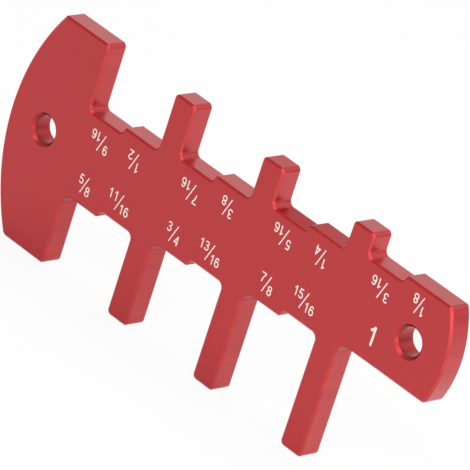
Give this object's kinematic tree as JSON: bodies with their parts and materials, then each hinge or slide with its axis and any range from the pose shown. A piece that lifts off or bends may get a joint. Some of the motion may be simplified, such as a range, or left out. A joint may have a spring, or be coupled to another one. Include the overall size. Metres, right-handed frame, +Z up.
{
  "type": "table saw height gauge",
  "caption": "Flat stepped height gauge in red anodised aluminium, for setting saw blades and router bits by touch.",
  "frame": {"origin": "middle of the feet: centred along the plate and through its thickness, on the surface the feet stand on", "axes": "+X along the plate from the wide head to the narrow tail, +Z up from the feet to the prongs, the numbered face looks along -Y"},
  "size_m": [0.12, 0.0052, 0.0487],
  "materials": {
    "anodised_red": "satin red anodised over a fine milled surface",
    "mark_white": "matte white marks laid on the face, too thin to have a solid of their own"
  },
  "bodies": {
    "root": {"gauge_plate": "anodised_red"}
  },
  "joints": []
}
